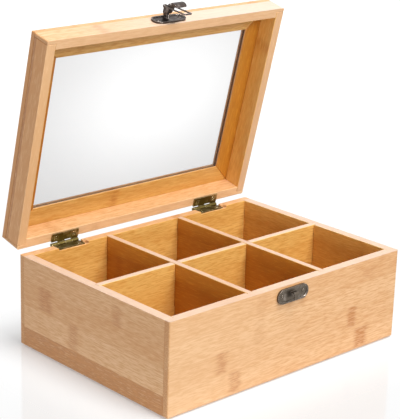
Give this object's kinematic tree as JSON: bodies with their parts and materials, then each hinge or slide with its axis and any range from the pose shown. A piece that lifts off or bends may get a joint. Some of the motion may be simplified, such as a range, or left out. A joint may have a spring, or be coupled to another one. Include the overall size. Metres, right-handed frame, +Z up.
{
  "type": "tea bag organizer box",
  "caption": "Bamboo tea box with a crossed divider grid, a hinged window lid and a small toggle latch on the front.",
  "frame": {"origin": "centre of the underside of the box, without the lid, on the plane it stands on", "axes": "+X along the front wall to the right, +Y from the front wall to the hinged back wall, +Z up"},
  "size_m": [0.23, 0.1938, 0.2509],
  "materials": {
    "bamboo": "satin clear lacquer on carbonised strip bamboo",
    "inner_bamboo": "satin clear lacquer",
    "pane": "clear",
    "hinge_metal": "antique brass",
    "latch_metal": "dark antique bronze"
  },
  "bodies": {
    "box": {"front_wall": "bamboo", "back_wall": "bamboo", "left_wall": "bamboo", "right_wall": "bamboo", "bottom_panel": "inner_bamboo", "long_divider": "inner_bamboo", "short_divider_left": "inner_bamboo", "short_divider_right": "inner_bamboo", "hinge_left_box_leaf": "hinge_metal", "hinge_left_pin": "hinge_metal", "hinge_right_box_leaf": "hinge_metal", "hinge_right_pin": "hinge_metal", "box_hinge_screws": "hinge_metal", "catch_plate": "latch_metal", "catch_nails": "latch_metal"},
    "lid": {"lid_rail_front": "bamboo", "lid_rail_back": "bamboo", "lid_rail_left": "bamboo", "lid_rail_right": "bamboo", "lid_frame_front": "bamboo", "lid_frame_back": "bamboo", "lid_frame_left": "bamboo", "lid_frame_right": "bamboo", "window_pane": "pane", "hinge_left_lid_leaf": "hinge_metal", "hinge_right_lid_leaf": "hinge_metal", "lid_hinge_screws": "hinge_metal", "latch_base": "latch_metal", "latch_nails": "latch_metal", "latch_pivot_pin": "latch_metal"},
    "lever": {"latch_lever": "latch_metal", "latch_bail_pin": "latch_metal"},
    "bail": {"latch_bail": "latch_metal"}
  },
  "joints": [
    {"name": "lid_hinge", "type": "hinge", "parent": "box", "child": "lid", "pos_m": [0, 0.086, 0.0702], "axis": [-1, 0, 0], "range_deg": [-76.5, 103.5]},
    {"name": "latch_lever", "type": "hinge", "parent": "lid", "child": "lever", "pos_m": [0, 0.05705, 0.24219], "axis": [-1, 0, 0], "range_deg": [0, 115]},
    {"name": "latch_bail", "type": "hinge", "parent": "lever", "child": "bail", "pos_m": [0, 0.05569, 0.2468], "axis": [-1, 0, 0], "range_deg": [-121.01, 0]}
  ],
  "couplings": [
    {"joint": "latch_bail", "follows": "latch_lever", "ratio": -1.0522}
  ]
}
